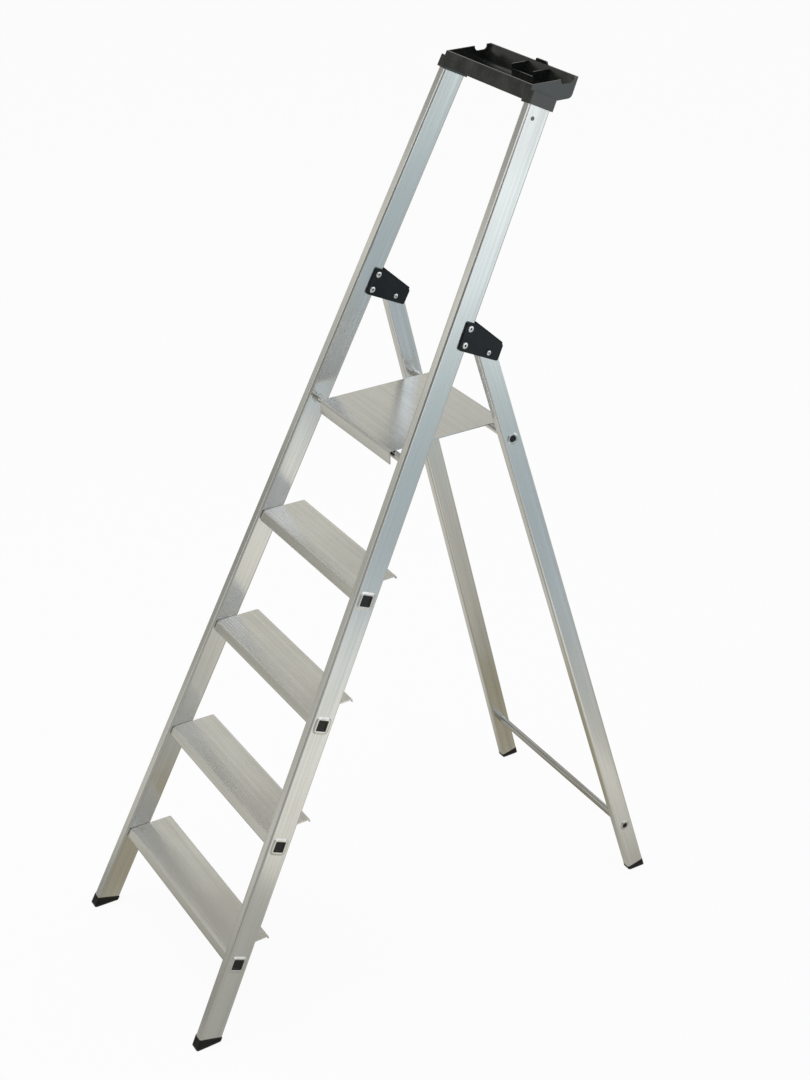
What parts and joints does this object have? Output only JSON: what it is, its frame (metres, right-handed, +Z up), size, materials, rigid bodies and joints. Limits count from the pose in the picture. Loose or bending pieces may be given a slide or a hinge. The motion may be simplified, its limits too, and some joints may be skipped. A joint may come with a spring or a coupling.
{
  "type": "stepladder",
  "caption": "Aluminium stepladder with ribbed treads, a fold-up standing platform, hinged rear legs and a black plastic tool tray across the tops of its tall front stiles.",
  "frame": {"origin": "on the floor under the middle of the standing footprint", "axes": "+X to the climber's right, +Y from the climbing side to the rear legs, +Z up"},
  "size_m": [0.5548, 1.1362, 1.824],
  "materials": {
    "stile_aluminium": "mill-finish extrusion with faint lengthwise streaks",
    "tread_aluminium": "mill-finish ribbed plate",
    "platform_aluminium": "mill-finish sheet",
    "tube_aluminium": "bright drawn tube",
    "tray_plastic": "black moulded plastic",
    "bracket_plastic": "black moulded plastic",
    "plug_plastic": "black moulded plastic",
    "boot_rubber": "black matte rubber",
    "rivet_metal": "bright rolled rivet",
    "screw_steel": "zinc plated"
  },
  "bodies": {
    "front_frame": {"right_front_stile": "stile_aluminium", "left_front_stile": "stile_aluminium", "tread_1": "tread_aluminium", "tread_2": "tread_aluminium", "tread_3": "tread_aluminium", "tread_4": "tread_aluminium", "tread_plugs": "plug_plastic", "front_cross_tube": "tube_aluminium", "right_hinge_bracket": "bracket_plastic", "left_hinge_bracket": "bracket_plastic", "bracket_rivets": "rivet_metal", "hinge_pins": "rivet_metal", "right_front_boot": "boot_rubber", "left_front_boot": "boot_rubber", "tool_tray": "tray_plastic", "tray_rivets": "rivet_metal"},
    "rear_frame": {"right_rear_leg": "stile_aluminium", "left_rear_leg": "stile_aluminium", "rear_upper_tube": "tube_aluminium", "lower_stay": "tube_aluminium", "rear_tube_plugs": "plug_plastic", "right_rear_boot": "boot_rubber", "left_rear_boot": "boot_rubber"},
    "platform": {"platform": "platform_aluminium", "right_platform_saddle": "bracket_plastic", "left_platform_saddle": "bracket_plastic", "right_platform_hook": "bracket_plastic", "left_platform_hook": "bracket_plastic", "platform_screws": "screw_steel"}
  },
  "joints": [
    {"name": "rear_frame_fold", "type": "hinge", "parent": "front_frame", "child": "rear_frame", "pos_m": [0, 0.18259, 1.3314], "axis": [-1, 0, 0], "range_deg": [0, 40.9]},
    {"name": "platform_lift", "type": "hinge", "parent": "front_frame", "child": "platform", "pos_m": [0, 0.00324, 1.14175], "axis": [1, 0, 0], "range_deg": [0, 64.5]}
  ],
  "couplings": [
    {"joint": "platform_lift", "follows": "rear_frame_fold", "ratio": 1.5746}
  ]
}
